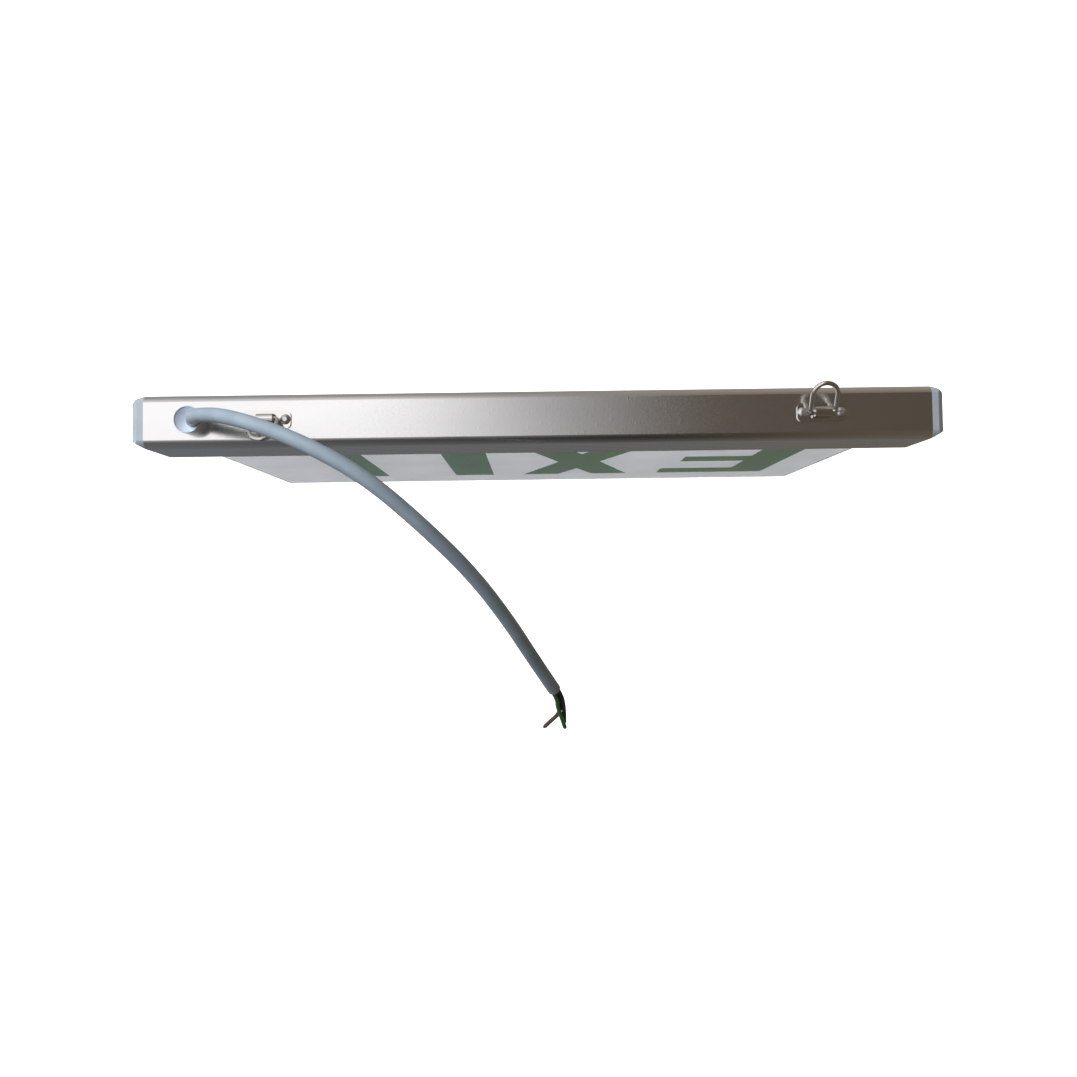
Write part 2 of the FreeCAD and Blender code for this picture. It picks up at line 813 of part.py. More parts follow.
def main():
    os.makedirs("parts", exist_ok=True)
    save("body_profile", body_profile())
    save("end_cap_left", end_cap(-1))
    save("end_cap_right", end_cap(1))
    save("end_screws", end_screws())
    save("legend_panel", legend_panel())
    save("trim_strip_front", trim_strip_front())
    save("trim_strip_rear", mirrored(strip_with_screw_holes(), along_y))
    save("panel_screws", panel_screws())
    save("panel_nuts", panel_nuts())
    save("led_board", led_board())
    save("led_chips", led_chips())
    save("driver_board", driver_board())
    save("driver_transformer", driver_transformer())
    save("driver_capacitors", driver_capacitors())
    save("terminal_block", terminal_block())
    save("battery_cells", battery_cells())
    save("battery_clips", battery_clips())
    save("hanger_rivets", hanger_rivets())
    hangers = (("left", hanger_left_x, loop_left_lean), ("right", hanger_right_x, loop_right_lean))
    for name, centre, lean in hangers:
        save("hanger_bracket_" + name, hanger_bracket(centre))
        save("hanger_loop_" + name, hanger_loop(centre, lean))
    save("cable_gland", cable_gland())
    save("gland_nut", gland_nut())
    save("supply_lead", cord("supply_lead", lead_route, lead_diameter))
    for name, points in core_routes.items():
        save(name, cord(name, points, core_diameter))
    save("test_button", test_button())
    save("control_board", control_board())
    save("button_switch", button_switch())
    for name, x in light_xs.items():
        save(name, indicator(x))


main()
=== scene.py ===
import json
import math
import bmesh
import bpy
from mathutils import Euler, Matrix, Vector


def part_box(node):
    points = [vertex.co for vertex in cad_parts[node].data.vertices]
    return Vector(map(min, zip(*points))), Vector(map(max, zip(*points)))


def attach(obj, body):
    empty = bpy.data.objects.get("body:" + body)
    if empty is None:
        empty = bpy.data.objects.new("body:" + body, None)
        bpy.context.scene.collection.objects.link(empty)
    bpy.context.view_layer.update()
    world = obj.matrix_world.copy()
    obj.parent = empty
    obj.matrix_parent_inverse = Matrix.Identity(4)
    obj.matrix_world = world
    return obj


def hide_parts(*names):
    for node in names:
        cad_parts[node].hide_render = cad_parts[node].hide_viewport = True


# Hanging edge-lit exit light. Metres; X along the bar, +Y the reading side, Z up.
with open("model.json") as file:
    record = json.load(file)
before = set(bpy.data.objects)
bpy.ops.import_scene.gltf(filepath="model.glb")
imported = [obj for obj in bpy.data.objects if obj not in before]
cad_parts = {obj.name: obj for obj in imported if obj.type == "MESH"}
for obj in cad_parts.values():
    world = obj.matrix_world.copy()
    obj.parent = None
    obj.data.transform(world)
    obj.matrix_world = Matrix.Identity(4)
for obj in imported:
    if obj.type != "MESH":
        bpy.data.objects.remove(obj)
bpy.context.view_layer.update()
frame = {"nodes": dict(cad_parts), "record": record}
nodes = frame["nodes"]
scene = bpy.context.scene
scene.view_settings.view_transform = "Standard"


# the camera stands above the bar and a little in front of it
cameraValues = {
    "place": (-0.0023, -0.0747, 0.4586),
    "turn": (2.293, -0.173, -0.794),      # degrees away from looking straight down
    "lens": 33.45,
    "sensor": 36.0,
    "clipStart": 0.01,
}


def addCamera(values):
    data = bpy.data.cameras.new("camera")
    data.lens = values["lens"]
    data.sensor_width = values["sensor"]
    data.clip_start = values["clipStart"]
    camera = bpy.data.objects.new("camera", data)
    camera.location = values["place"]
    camera.rotation_euler = Euler([math.radians(turn) for turn in values["turn"]])
    scene.collection.objects.link(camera)
    scene.camera = camera


addCamera(cameraValues)
print("camera set")


def addObject(name, data):
    thing = bpy.data.objects.new(name, data)
    scene.collection.objects.link(thing)
    return thing


mergeDistance = 1e-7


def closeMesh(mesh):
    made = bmesh.new()
    made.from_mesh(mesh)
    bmesh.ops.remove_doubles(made, verts=made.verts, dist=mergeDistance)
    bmesh.ops.recalc_face_normals(made, faces=made.faces)
    made.to_mesh(mesh)
    made.free()


def meshFrom(name, points, faces, smoothAngle=30.0):
    mesh = bpy.data.meshes.new(name)
    mesh.from_pydata(points, [], faces)
    closeMesh(mesh)
    mesh.shade_smooth()
    mesh.set_sharp_from_angle(angle=math.radians(smoothAngle))
    return addObject(name, mesh)


cordSteps = 16      # steps between two points of a route


def cordCurve(name, route, diameter, roundness):
    curve = bpy.data.curves.new(name, "CURVE")
    curve.dimensions = "3D"
    curve.bevel_depth = diameter / 2
    curve.bevel_resolution = roundness
    curve.use_fill_caps = True
    curve.resolution_u = cordSteps
    spline = curve.splines.new("NURBS")
    spline.points.add(len(route) - 1)
    for point, place in zip(spline.points, route):
        point.co = (*place, 1.0)
    spline.order_u = 3
    spline.use_endpoint_u = True
    return addObject(name, curve)


# the supply lead and its three cores, each from its exit to its bare end
leadValues = {
    "diameter": 0.0062,
    "length": 0.2775,
    "roundness": 8,
    "route": [
        (-0.1588, -0.0006, -0.0004), (-0.1537, -0.001, 0.0176), (-0.1448, -0.0029, 0.034),
        (-0.1307, -0.0058, 0.0495), (-0.1122, -0.0119, 0.061), (-0.0902, -0.0214, 0.0676),
        (-0.0678, -0.0344, 0.0674), (-0.0459, -0.054, 0.0586), (-0.028, -0.0729, 0.0436),
        (-0.0144, -0.0925, 0.025), (-0.0041, -0.1104, 0.0054), (0.0057, -0.1267, -0.014),
    ],
}

coreValues = {
    "diameter": 0.0021,
    "roundness": 5,
    "core_earth": {"length": 0.0347, "route": [
        (0.004854, -0.127739, -0.013555), (0.007235, -0.131698, -0.018268),
        (0.00744, -0.13648, -0.026), (0.00956, -0.14267, -0.033), (0.01121, -0.14838, -0.0405)]},
    "core_neutral": {"length": 0.0352, "route": [
        (0.007013, -0.126295, -0.013677), (0.009394, -0.130255, -0.01839),
        (0.0105, -0.13663, -0.027), (0.0109, -0.14178, -0.035), (0.0111, -0.14594, -0.042)]},
    "core_live": {"length": 0.0397, "route": [
        (0.005063, -0.125836, -0.015048), (0.007804, -0.130396, -0.020475),
        (0.00916, -0.13717, -0.0305), (0.00791, -0.14179, -0.0375),
        (0.00435, -0.14534, -0.0415), (0.00142, -0.14848, -0.0445)]},
}

lead = cordCurve("lead", leadValues["route"], leadValues["diameter"], leadValues["roundness"])
cores = {}
for coreName in ("core_earth", "core_neutral", "core_live"):
    cores[coreName] = cordCurve(coreName.replace("core_", "insulation_"), coreValues[coreName]["route"],
                                coreValues["diameter"], coreValues["roundness"])
print("cords laid")


def startFinish(name):
    material = bpy.data.materials.new(name)
    material.use_nodes = True
    return material, material.node_tree.nodes["Principled BSDF"]


def setSockets(shader, **values):
    for name, value in values.items():
        shader.inputs[name.replace("_", " ")].default_value = value


def grain(material, size, stretch=(1, 1, 1), detail=3.0, place=(0, 0, 0)):
    tree = material.node_tree
    coordinates = tree.nodes.new("ShaderNodeTexCoord")
    mapping = tree.nodes.new("ShaderNodeMapping")
    noise = tree.nodes.new("ShaderNodeTexNoise")
    mapping.inputs["Location"].default_value = place
    mapping.inputs["Scale"].default_value = [1 / side for side in stretch]
    noise.inputs["Scale"].default_value = 1 / size
    noise.inputs["Detail"].default_value = detail
    tree.links.new(coordinates.outputs["Object"], mapping.inputs["Vector"])
    tree.links.new(mapping.outputs["Vector"], noise.inputs["Vector"])
    return noise.outputs["Fac"]


def spread(material, factor, low, high, start=0.3, end=0.7):
    tree = material.node_tree
    node = tree.nodes.new("ShaderNodeMapRange")
    node.inputs["From Min"].default_value = start
    node.inputs["From Max"].default_value = end
    node.inputs["To Min"].default_value = low
    node.inputs["To Max"].default_value = high
    tree.links.new(factor, node.inputs["Value"])
    return node.outputs["Result"]


def colorRamp(tree, factor, stops):
    ramp = tree.nodes.new("ShaderNodeValToRGB")
    while len(ramp.color_ramp.elements) < len(stops):
        ramp.color_ramp.elements.new(0.5)
    for element, (place, color) in zip(ramp.color_ramp.elements, stops):
        element.position = place
        element.color = (*color, 1)
    tree.links.new(factor, ramp.inputs["Fac"])
    return ramp.outputs["Color"]


def addBump(material, shader, factor, distance, strength=1.0):
    tree = material.node_tree
    node = tree.nodes.new("ShaderNodeBump")
    node.inputs["Strength"].default_value = strength
    node.inputs["Distance"].default_value = distance
    tree.links.new(factor, node.inputs["Height"])
    if shader.inputs["Normal"].is_linked:
        tree.links.new(shader.inputs["Normal"].links[0].from_socket, node.inputs["Normal"])
    tree.links.new(node.outputs["Normal"], shader.inputs["Normal"])


def drive(material, shader, socket, output):
    material.node_tree.links.new(output, shader.inputs[socket])


def shade(color, change):
    return tuple(min(1.0, part * change) for part in color)


def moulded(name, color, roughness, mottling=0.06, texture=0.0006, depth=0.000004, **sockets):
    material, shader = startFinish(name)
    cloud = grain(material, 0.012)
    fine = grain(material, texture)
    drive(material, shader, "Base Color", colorRamp(
        material.node_tree, cloud,
        [(0.3, shade(color, 1 - mottling)), (0.7, shade(color, 1 + mottling))]))
    drive(material, shader, "Roughness", spread(material, fine, roughness - 0.04, roughness + 0.06))
    addBump(material, shader, fine, depth)
    setSockets(shader, **sockets)
    return material


def metal(name, color, roughness, texture=0.0005, depth=0.000002, stretch=(1, 1, 1), **sockets):
    material = moulded(name, color, roughness, 0.03, texture, depth, Metallic=1.0, **sockets)
    shader = material.node_tree.nodes["Principled BSDF"]
    addBump(material, shader, grain(material, texture * 2, stretch), depth)
    return material


anodisedValues = {
    "lineSize": 0.00045, "lineStretch": (160, 1, 1), "lineDepth": 0.000015, "lineStrength": 0.7,
    "speckleSize": 0.0009, "speckleDepth": 0.000008, "speckleStrength": 0.6,
    "dustSize": 0.0016, "dustPlace": (0.3, 0.1, 0.2), "dustRange": (0.61, 0.75),
    "dustDepth": 0.000012, "dustStrength": 0.6, "cloudSize": 0.03, "cloudStretch": (3, 1, 1),
    "darkTone": (0.72, 0.71, 0.715), "lightTone": (0.78, 0.77, 0.77), "roughness": (0.13, 0.2),
}


def anodisedFinish(values):
    material, shader = startFinish("satinAnodised")
    lines = grain(material, values["lineSize"], stretch=values["lineStretch"], detail=2.0)
    speckle = grain(material, values["speckleSize"], detail=2.0)
    dust = grain(material, values["dustSize"], detail=1.0, place=values["dustPlace"])
    pimples = spread(material, dust, 0, 1, *values["dustRange"])
    cloud = grain(material, values["cloudSize"], stretch=values["cloudStretch"])
    drive(material, shader, "Base Color", colorRamp(
        material.node_tree, cloud, [(0.3, values["darkTone"]), (0.7, values["lightTone"])]))
    drive(material, shader, "Roughness", spread(material, speckle, *values["roughness"]))
    addBump(material, shader, lines, values["lineDepth"], values["lineStrength"])
    addBump(material, shader, speckle, values["speckleDepth"], values["speckleStrength"])
    addBump(material, shader, pimples, values["dustDepth"], values["dustStrength"])
    setSockets(shader, Metallic=1.0)
    return material


def acrylicFinish():
    material, shader = startFinish("clearAcrylic")
    smear = grain(material, 0.02, stretch=(2, 1, 1))
    drive(material, shader, "Roughness", spread(material, smear, 0.02, 0.07))
    setSockets(shader, Transmission_Weight=1.0, IOR=1.49, Base_Color=(0.95, 0.97, 0.985, 1))
    return material


def legendPrintAndPaintedGlow(name, color, roughness, paintedGlow):
    material, shader = startFinish(name)
    cloud = grain(material, 0.035)
    screen = grain(material, 0.0004)
    drive(material, shader, "Base Color", colorRamp(
        material.node_tree, cloud, [(0.3, shade(color, 0.9)), (0.7, shade(color, 1.08))]))
    drive(material, shader, "Roughness", spread(material, screen, roughness, roughness + 0.12))
    addBump(material, shader, screen, 0.000005)
    # Emission here is painted light: the white ground and green letters glow to stand in for lamp light
    # that the clear panel keeps off the film, not a lit lamp
    setSockets(shader, Emission_Color=(*color, 1), Emission_Strength=paintedGlow)
    return material


def sheathFinish(name, color, roughness):
    material, shader = startFinish(name)
    cloud = grain(material, 0.009)
    pores = grain(material, 0.0005)
    drive(material, shader, "Base Color", colorRamp(
        material.node_tree, cloud, [(0.3, shade(color, 0.92)), (0.7, shade(color, 1.07))]))
    drive(material, shader, "Roughness", spread(material, pores, roughness - 0.05, roughness + 0.08))
    addBump(material, shader, cloud, 0.00012, 0.5)
    addBump(material, shader, pores, 0.000012, 0.6)
    return material


finishes = {
    "anodised_aluminium": anodisedFinish(anodisedValues),
    "cap_plastic": moulded("capPlastic", (0.36, 0.40, 0.44), 0.22, Subsurface_Weight=0.25,
                           Subsurface_Radius=(0.002, 0.0022, 0.0026)),
    "clear_acrylic": acrylicFinish(),
    "strip_plastic": moulded("stripPlastic", (0.30, 0.31, 0.33), 0.45),
    # the last number of each legend finish is a painted glow on the print, not the sign's lamp
    "legend_green": legendPrintAndPaintedGlow("legendGreen", (0.008, 0.15, 0.02), 0.3, 0.1),
    "legend_white": legendPrintAndPaintedGlow("legendWhite", (0.80, 0.81, 0.84), 0.35, 0.45),
    "bright_nickel": metal("brightNickel", (0.72, 0.70, 0.68), 0.13),
    "rivet_aluminium": metal("rivetAluminium", (0.70, 0.69, 0.68), 0.32),
    "zinc_steel": metal("zincSteel", (0.66, 0.68, 0.72), 0.28),
    "gland_nylon": moulded("glandNylon", (0.55, 0.61, 0.70), 0.12, Subsurface_Weight=0.9,
                           Subsurface_Radius=(0.006, 0.0066, 0.0075)),
    "lead_sheath": sheathFinish("leadSheath", (0.26, 0.315, 0.375), 0.36),
    "core_green": sheathFinish("coreGreen", (0.05, 0.17, 0.04), 0.3),
    "core_black": sheathFinish("coreBlack", (0.012, 0.012, 0.014), 0.3),
    "core_brown": sheathFinish("coreBrown", (0.095, 0.058, 0.042), 0.3),
    "bare_copper": metal("bareCopper", (0.85, 0.48, 0.30), 0.25),
    "circuit_board_white": moulded("boardWhite", (0.8, 0.8, 0.78), 0.35),
    "circuit_board_green": moulded("boardGreen", (0.03, 0.2, 0.07), 0.3),
    "led_phosphor": moulded("ledPhosphor", (0.85, 0.7, 0.2), 0.3),
    "transformer_tape": moulded("transformerTape", (0.7, 0.6, 0.12), 0.4),
    "capacitor_sleeve": moulded("capacitorSleeve", (0.03, 0.04, 0.09), 0.25),
    "terminal_green": moulded("terminalGreen", (0.05, 0.35, 0.12), 0.4),
    "battery_wrap": moulded("batteryWrap", (0.05, 0.2, 0.5), 0.25),
    "clip_plastic": moulded("clipPlastic", (0.06, 0.06, 0.06), 0.45),
    "button_plastic": moulded("buttonPlastic", (0.6, 0.61, 0.63), 0.35),
    "lens_green": moulded("lensGreen", (0.05, 0.45, 0.12), 0.12),
    "lens_red": moulded("lensRed", (0.6, 0.03, 0.02), 0.12),
    "lens_amber": moulded("lensAmber", (0.75, 0.38, 0.03), 0.12),
}


def wear(thing, slotName):
    thing.data.materials.clear()
    thing.data.materials.append(finishes[slotName])


for part in frame["record"]["subparts"]:
    wear(nodes[part["node"]], part["material_slot"])
print("finishes made")


def declareCords():
    wear(lead, "lead_sheath")
    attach(lead, "housing")
    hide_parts("supply_lead")
    slots = {"core_earth": "core_green", "core_neutral": "core_black", "core_live": "core_brown"}
    for name, core in cores.items():
        wear(core, slots[name])
        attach(core, "housing")
        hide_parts(name)


# stripped copper ends: a ring of strands round one in the middle
strandValues = {"ring": 6, "ringRadius": 0.00046, "strandRadius": 0.0002, "length": 0.0018, "seed": 3,
                "sides": 8, "lean": 0.1, "sunk": 0.0006}


def strandTree(values):
    tree = bpy.data.node_groups.new("strandBundle", "GeometryNodeTree")
    sockets = {}
    for name, kind in (("Strands round", "NodeSocketInt"), ("Ring radius", "NodeSocketFloat"),
                       ("Strand radius", "NodeSocketFloat"), ("Length", "NodeSocketFloat"),
                       ("Seed", "NodeSocketInt"), ("Copper", "NodeSocketMaterial")):
        sockets[name] = tree.interface.new_socket(name, in_out="INPUT", socket_type=kind).identifier
    tree.interface.new_socket("Geometry", in_out="OUTPUT", socket_type="NodeSocketGeometry")
    made = {name: tree.nodes.new(kind) for name, kind in (
        ("given", "NodeGroupInput"), ("result", "NodeGroupOutput"), ("ring", "GeometryNodeMeshCircle"),
        ("middle", "GeometryNodePoints"), ("join", "GeometryNodeJoinGeometry"),
        ("strand", "GeometryNodeMeshCylinder"), ("lean", "FunctionNodeRandomValue"),
        ("place", "GeometryNodeInstanceOnPoints"), ("solid", "GeometryNodeRealizeInstances"),
        ("finish", "GeometryNodeSetMaterial"))}
    made["lean"].data_type = "FLOAT_VECTOR"
    made["lean"].inputs["Min"].default_value = (-values["lean"], -values["lean"], 0)
    made["lean"].inputs["Max"].default_value = (values["lean"], values["lean"], 0)
    made["strand"].inputs["Vertices"].default_value = values["sides"]
    link = tree.links.new
    link(made["given"].outputs["Strands round"], made["ring"].inputs["Vertices"])
    link(made["given"].outputs["Ring radius"], made["ring"].inputs["Radius"])
    link(made["given"].outputs["Strand radius"], made["strand"].inputs["Radius"])
    link(made["given"].outputs["Length"], made["strand"].inputs["Depth"])
    link(made["given"].outputs["Seed"], made["lean"].inputs["Seed"])
    link(made["ring"].outputs["Mesh"], made["join"].inputs["Geometry"])
    link(made["middle"].outputs["Points"], made["join"].inputs["Geometry"])
    link(made["join"].outputs["Geometry"], made["place"].inputs["Points"])
    link(made["strand"].outputs["Mesh"], made["place"].inputs["Instance"])
    link(made["lean"].outputs["Value"], made["place"].inputs["Rotation"])
    link(made["place"].outputs["Instances"], made["solid"].inputs["Geometry"])
    link(made["solid"].outputs["Geometry"], made["finish"].inputs["Geometry"])
    link(made["given"].outputs["Copper"], made["finish"].inputs["Material"])
    link(made["finish"].outputs["Geometry"], made["result"].inputs["Geometry"])
    return tree, sockets


def settled(name, tree, inputs):
    holder = addObject(name + "Maker", bpy.data.meshes.new(name + "Maker"))
    modifier = holder.modifiers.new("maker", "NODES")
    modifier.node_group = tree
    for identifier, value in inputs.items():
        modifier[identifier] = value
    graph = bpy.context.evaluated_depsgraph_get()
    mesh = bpy.data.meshes.new_from_object(holder.evaluated_get(graph))
    bpy.data.objects.remove(holder)
    return addObject(name, mesh)


strandMaker, strandSockets = strandTree(strandValues)


def strandBundle(name, route):
    given = {"Strands round": strandValues["ring"], "Ring radius": strandValues["ringRadius"],
             "Strand radius": strandValues["strandRadius"], "Length": strandValues["length"],
             "Seed": strandValues["seed"], "Copper": finishes["bare_copper"]}
    bundle = settled(name, strandMaker,
                     {strandSockets[socket]: value for socket, value in given.items()})
    end, before = Vector(route[-1]), Vector(route[-2])
    way = (end - before).normalized()
    turn = way.to_track_quat("Z", "Y").to_matrix().to_4x4()
    turn.translation = end + way * (strandValues["length"] / 2 - strandValues["sunk"])
    bundle.data.transform(turn)
    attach(bundle, "housing")
    return bundle


strands = {name: strandBundle(name.replace("core_", "strands_"), coreValues[name]["route"])
           for name in cores}
declareCords()
print("cords declared")


# soft seal that fills the gland's mouth round the lead
sealValues = {"radius": 0.00555, "rimDepth": 0.0004, "dish": 0.0022, "thickness": 0.0016, "sides": 48,
              "rings": 6}


def makeSeal(values):
    low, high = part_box("cable_gland")
    middle = (low + high) / 2
    points, faces, sides = [], [], values["sides"]
    for side, sink in ((1, 0.0), (-1, values["thickness"])):
        points.append((middle.x, middle.y, high.z - values["rimDepth"] - values["dish"] - sink))
        for ring in range(1, values["rings"] + 1):
            share = ring / values["rings"]
            height = high.z - values["rimDepth"] - values["dish"] * (1 - share**2) - sink
            for step in range(sides):
                turn = math.tau * step / sides
                points.append((middle.x + values["radius"] * share * math.cos(turn),
                               middle.y + values["radius"] * share * math.sin(turn), height))
    layer = 1 + values["rings"] * sides
    for first in (0, layer):
        faces += [(first, first + 1 + step, first + 1 + (step + 1) % sides)
                  for step in range(sides)]
        for ring in range(values["rings"] - 1):
            inner, outer = first + 1 + ring * sides, first + 1 + (ring + 1) * sides
            faces += [(inner + step, outer + step, outer + (step + 1) % sides,
                       inner + (step + 1) % sides) for step in range(sides)]
    top, under = 1 + (values["rings"] - 1) * sides, layer + 1 + (values["rings"] - 1) * sides
    faces += [(top + step, under + step, under + (step + 1) % sides, top + (step + 1) % sides)
              for step in range(sides)]
    return meshFrom("glandSeal", points, faces)


seal = makeSeal(sealValues)
wear(seal, "gland_nylon")
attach(seal, "housing")
print("seal made")


# bar: the extruded section with softened corners, flutes and open underside
barValues = {
    "length": 0.364, "width": 0.0248, "height": 0.035, "flat": 0.0176, "shoulderDrop": 0.0044,
    "shoulderBulge": 0.000775, "shoulderSteps": 16, "wall": 0.0013, "chamberTop": -0.0188,
    "fluteCount": 5, "fluteFirst": -0.009, "flutePitch": 0.0052, "fluteWidth": 0.0007,
    "fluteDepth": 0.0003, "corner": 0.00025, "smoothAngle": 24,
    "cornerSteps": 4, "cornerShare": 0.4,
    "leastTurn": 12,      # degrees below which a corner stays as it is
}


def arcThrough(first, middle, last, steps):
    (ax, ay), (bx, by), (cx, cy) = first, middle, last
    scale = 2 * (ax * (by - cy) + bx * (cy - ay) + cx * (ay - by))
    aa, bb, cc = ax**2 + ay**2, bx**2 + by**2, cx**2 + cy**2
    centreX = (aa * (by - cy) + bb * (cy - ay) + cc * (ay - by)) / scale
    centreY = (aa * (cx - bx) + bb * (ax - cx) + cc * (bx - ax)) / scale
    radius = math.hypot(ax - centreX, ay - centreY)
    start = math.atan2(ay - centreY, ax - centreX)
    sweep = math.atan2(cy - centreY, cx - centreX) - start
    return [(centreX + radius * math.cos(start + sweep * step / steps),
             centreY + radius * math.sin(start + sweep * step / steps)) for step in range(steps + 1)]


def softened(points, values):
    radius, steps, share = values["corner"], values["cornerSteps"], values["cornerShare"]
    result = []
    count = len(points)
    for index, corner in enumerate(points):
        before, after = Vector(points[index - 1]), Vector(points[(index + 1) % count])
        corner = Vector(corner)
        turn = (corner - before).angle(after - corner)
        back = min(radius * math.tan(turn / 2), share * (corner - before).length,
                   share * (after - corner).length)
        if turn < math.radians(values["leastTurn"]):
            result.append(tuple(corner))
            continue
        first = corner + (before - corner).normalized() * back
        last = corner + (after - corner).normalized() * back
        for step in range(steps + 1):
            part = step / steps
            result.append(tuple(first * (1 - part)**2 + corner * 2 * part * (1 - part) + last * part**2))
    return result


def barOutline(values):
    half, flat = values["width"] / 2, values["flat"] / 2
    drop, bulge = values["shoulderDrop"], values["shoulderBulge"]
    chord = Vector((half - flat, -drop))
    out = Vector((drop, half - flat)).normalized() * bulge
    middle = Vector((flat, 0)) + chord * 0.5 + out
    side = arcThrough((flat, 0), tuple(middle), (half, -drop), values["shoulderSteps"])
    for number in range(values["fluteCount"]):
        centre = values["fluteFirst"] - number * values["flutePitch"]
        side += [(half, centre + values["fluteWidth"] / 2), (half - values["fluteDepth"], centre),
                 (half, centre - values["fluteWidth"] / 2)]
    inner = half - values["wall"]
    side += [(half, -values["height"]), (inner, -values["height"]), (inner, values["chamberTop"])]
    return side + [(-y, z) for y, z in reversed(side)]


def extruded(name, outline, length, smoothAngle):
    count = len(outline)
    points = [(x, y, z) for x in (-length / 2, length / 2) for y, z in outline]
    faces = [(i, (i + 1) % count, (i + 1) % count + count, i + count) for i in range(count)]
    faces += [tuple(range(count)), tuple(range(count, 2 * count))]
    return meshFrom(name, points, faces, smoothAngle)


bar = extruded("bar", softened(barOutline(barValues), barValues), barValues["length"],
               barValues["smoothAngle"])
wear(bar, "anodised_aluminium")
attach(bar, "housing")
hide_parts("body_profile")
print("bar made")


# legend: one printed film on the panel's reading face
legendValues = {
    "top": -0.0908, "bottom": -0.2318, "stroke": 0.0246, "thickness": 0.00012, "sink": 0.00003,
    "filmHalf": 0.1793, "filmTop": -0.0352, "filmBottom": -0.2663,
    "e": {"left": 0.082, "right": 0.154, "middleLeft": 0.0895, "topArm": 0.0215, "bottomArm": 0.0265,
          "middleArm": (-0.006, 0.018)},
    "x": {"left": -0.0093, "right": 0.061, "footInner": 0.0235, "waist": 0.0128, "notch": 0.0335},
    "i": {"left": -0.056, "right": -0.03},
    "t": {"left": -0.1543, "right": -0.0756, "stem": 0.0262, "bar": 0.0225},
}


def letterE(values, top, bottom, stroke):
    left, right, spine = values["left"], values["right"], values["right"] - stroke
    foot, head = bottom + values["bottomArm"], top - values["topArm"]
    low, high = ((top + bottom) / 2 + shift for shift in values["middleArm"])
    return [(right, top), (right, bottom), (left, bottom), (left, foot), (spine, foot), (spine, low),
            (values["middleLeft"], low), (values["middleLeft"], high), (spine, high), (spine, head),
            (left, head), (left, top)]


def letterX(values, top, bottom):
    left, right = values["left"], values["right"]
    centre, middle = (left + right) / 2, (top + bottom) / 2
    foot, waist, notch = values["footInner"], values["waist"], values["notch"]
    return [(left, top), (left + foot, top), (centre, top - notch), (right - foot, top), (right, top),
            (centre + waist, middle), (right, bottom), (right - foot, bottom),
            (centre, bottom + notch), (left + foot, bottom), (left, bottom), (centre - waist, middle)]


def letterI(values, top, bottom):
    return [(values["left"], top), (values["right"], top), (values["right"], bottom),
            (values["left"], bottom)]


def letterT(values, top, bottom):
    centre, half = (values["left"] + values["right"]) / 2, values["stem"] / 2
    under = top - values["bar"]
    return [(values["left"], top), (values["right"], top), (values["right"], under),
            (centre + half, under), (centre + half, bottom), (centre - half, bottom),
            (centre - half, under), (values["left"], under)]


def filmPiece(name, outlines, finish):
    curve = bpy.data.curves.new(name, "CURVE")
    curve.dimensions = "2D"
    curve.fill_mode = "BOTH"
    curve.extrude = legendValues["thickness"] / 2
    for outline in outlines:
        spline = curve.splines.new("POLY")
        spline.points.add(len(outline) - 1)
        for point, (x, z) in zip(spline.points, outline):
            point.co = (x, z, 0, 1)
        spline.use_cyclic_u = True
    maker = addObject(name + "Maker", curve)
    graph = bpy.context.evaluated_depsgraph_get()
    mesh = bpy.data.meshes.new_from_object(maker.evaluated_get(graph))
    bpy.data.objects.remove(maker)
    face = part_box("legend_panel")[1].y + legendValues["thickness"] / 2 - legendValues["sink"]
    for vertex in mesh.vertices:
        x, z, depth = vertex.co
        vertex.co = (x, face + depth, z)
    closeMesh(mesh)
    film = addObject(name, mesh)
    wear(film, finish)
    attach(film, "housing")
    return film


legendTop, legendBottom = legendValues["top"], legendValues["bottom"]
letters = [letterE(legendValues["e"], legendTop, legendBottom, legendValues["stroke"]),
           letterX(legendValues["x"], legendTop, legendBottom),
           letterI(legendValues["i"], legendTop, legendBottom),
           letterT(legendValues["t"], legendTop, legendBottom)]
filmHalf, filmTop, filmBottom = (legendValues[name] for name in ("filmHalf", "filmTop", "filmBottom"))
ground = [(-filmHalf, filmTop), (filmHalf, filmTop), (filmHalf, filmBottom), (-filmHalf, filmBottom)]
filmPiece("legendLetters", letters, "legend_green")
filmPiece("legendGround", [ground] + letters, "legend_white")
print("legend printed")


# pale floor and one soft window
stageValues = {
    "floorHeight": -0.62, "floorHalf": 3.0, "floorGlow": 1.0, "floorColor": (0.9, 0.9, 0.9),
    "windowPlace": (-0.62, 0.34, 0.62), "windowTurn": (-29.0, -45.0, 0.0), "windowSize": (0.55, 0.55),
    "windowPower": 9.0, "windowColor": (0.93, 0.97, 1.0),
}

# four broad soft fields round the object: degrees from overhead towards the back, then left to right
roomValues = [
    (-160, [(-0.4, (0.15, 0.16, 0.18)), (0.4, (0.15, 0.14, 0.12))]),
    (-60, [(-0.4, (0.15, 0.15, 0.15)), (0.1, (0.02, 0.02, 0.02)), (0.4, (0.15, 0.12, 0.08))]),
    (10, [(-0.15, (1.3, 1.3, 1.3)), (0.0, (0.5, 0.5, 0.5)), (0.15, (0.1, 0.08, 0.06))]),
    (110, [(-0.4, (0.35, 0.35, 0.35)), (0.4, (0.35, 0.3, 0.25))]),
]


def stageSheet(name, half, height):
    points = [(-half, -half, height), (half, -half, height), (half, half, height), (-half, half, height)]
    mesh = bpy.data.meshes.new(name)
    mesh.from_pydata(points, [], [(0, 1, 2, 3)])
    sheet = addObject(name, mesh)
    return sheet


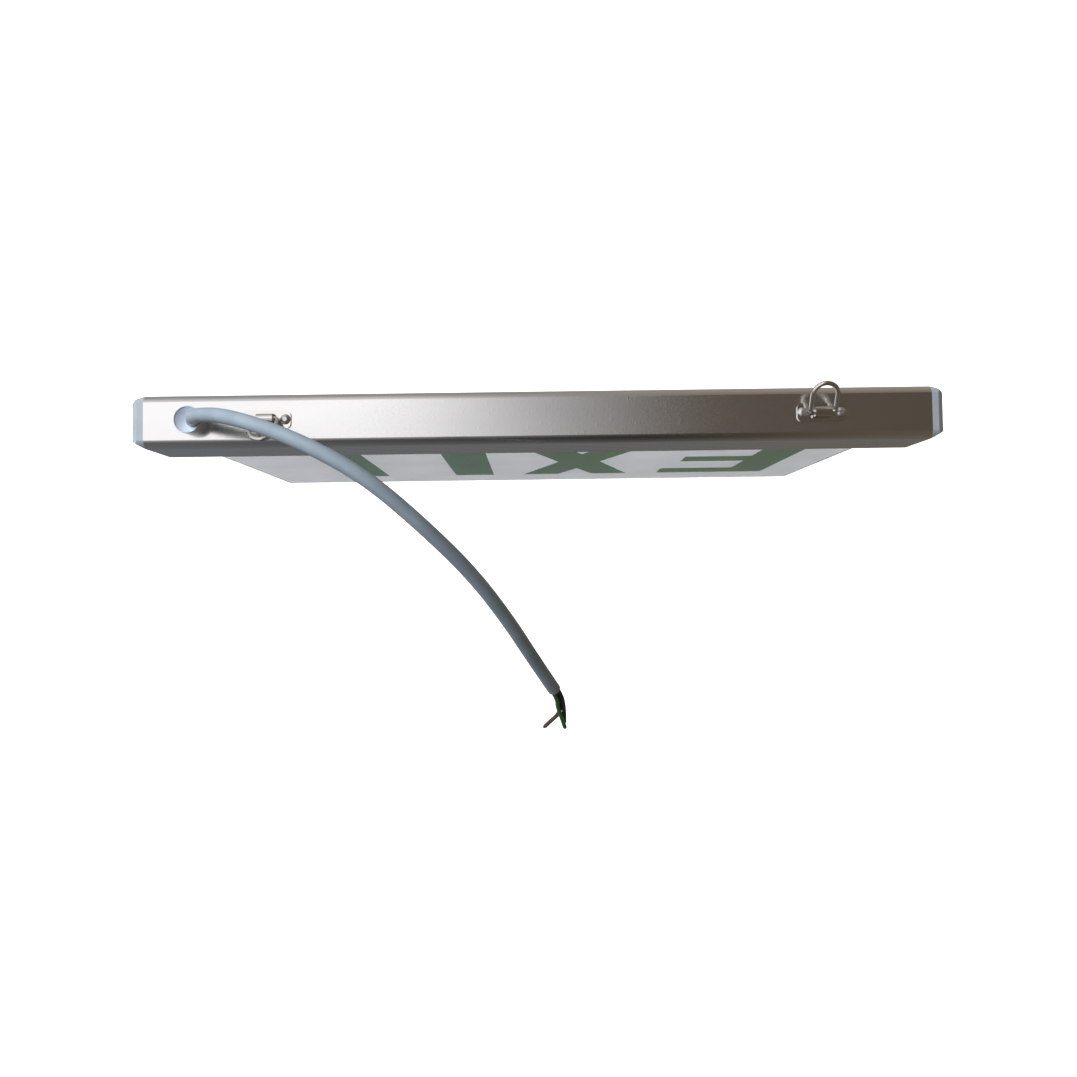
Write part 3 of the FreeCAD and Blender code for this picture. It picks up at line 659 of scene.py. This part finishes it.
def addFloor(values):
    floor = stageSheet("floor", values["floorHalf"], values["floorHeight"])
    floor.visible_glossy = False      # the metal mirrors the room, not the floor
    floor.visible_diffuse = False     # and undersides stay in shade
    material, shader = startFinish("paleFloor")
    setSockets(shader, Base_Color=(*values["floorColor"], 1), Roughness=0.8,
               Emission_Color=(1, 1, 1, 1), Emission_Strength=values["floorGlow"])
    floor.data.materials.append(material)


def addWindow(values):
    light = bpy.data.lights.new("window", "AREA")
    light.shape = "RECTANGLE"
    light.size, light.size_y = values["windowSize"]
    light.energy = values["windowPower"]
    light.color = values["windowColor"]
    window = addObject("window", light)
    window.location = values["windowPlace"]
    window.rotation_euler = Euler([math.radians(turn) for turn in values["windowTurn"]])
    window.visible_glossy = False


def mathNode(tree, operation, first, second):
    node = tree.nodes.new("ShaderNodeMath")
    node.operation = operation
    for socket, value in zip(node.inputs, (first, second)):
        if isinstance(value, (int, float)):
            socket.default_value = value
        else:
            tree.links.new(value, socket)
    return node.outputs["Value"]


def roomColors(tree, across, stops):
    return colorRamp(tree, across, [(place + 0.5, color) for place, color in stops])


def roomBlend(tree, turn, start, end, first, second):
    share = tree.nodes.new("ShaderNodeMapRange")
    share.interpolation_type = "SMOOTHSTEP"
    share.inputs["From Min"].default_value = math.radians(start)
    share.inputs["From Max"].default_value = math.radians(end)
    tree.links.new(turn, share.inputs["Value"])
    mix = tree.nodes.new("ShaderNodeMix")
    mix.data_type = "RGBA"
    tree.links.new(share.outputs["Result"], mix.inputs["Factor"])
    tree.links.new(first, mix.inputs["A"])
    tree.links.new(second, mix.inputs["B"])
    return mix.outputs["Result"]


def addRoom(rings):
    world = bpy.data.worlds.new("room")
    world.use_nodes = True
    scene.world = world
    tree = world.node_tree
    coordinates = tree.nodes.new("ShaderNodeTexCoord")
    parts = tree.nodes.new("ShaderNodeSeparateXYZ")
    tree.links.new(coordinates.outputs["Generated"], parts.inputs["Vector"])
    turn = mathNode(tree, "ARCTAN2", parts.outputs["Y"], parts.outputs["Z"])
    across = mathNode(tree, "ADD", parts.outputs["X"], 0.5)
    lastTurn, stops = rings[0]
    color = roomColors(tree, across, stops)
    for nextTurn, stops in rings[1:]:
        color = roomBlend(tree, turn, lastTurn, nextTurn, color, roomColors(tree, across, stops))
        lastTurn = nextTurn
    seen = tree.nodes.new("ShaderNodeLightPath")      # the view itself meets a plain white backdrop
    backdrop = tree.nodes.new("ShaderNodeMix")
    backdrop.data_type = "RGBA"
    backdrop.inputs["B"].default_value = (1, 1, 1, 1)
    tree.links.new(seen.outputs["Is Camera Ray"], backdrop.inputs["Factor"])
    tree.links.new(color, backdrop.inputs["A"])
    tree.links.new(backdrop.outputs["Result"], tree.nodes["Background"].inputs["Color"])


addFloor(stageValues)
addWindow(stageValues)
addRoom(roomValues)
print("stage set")
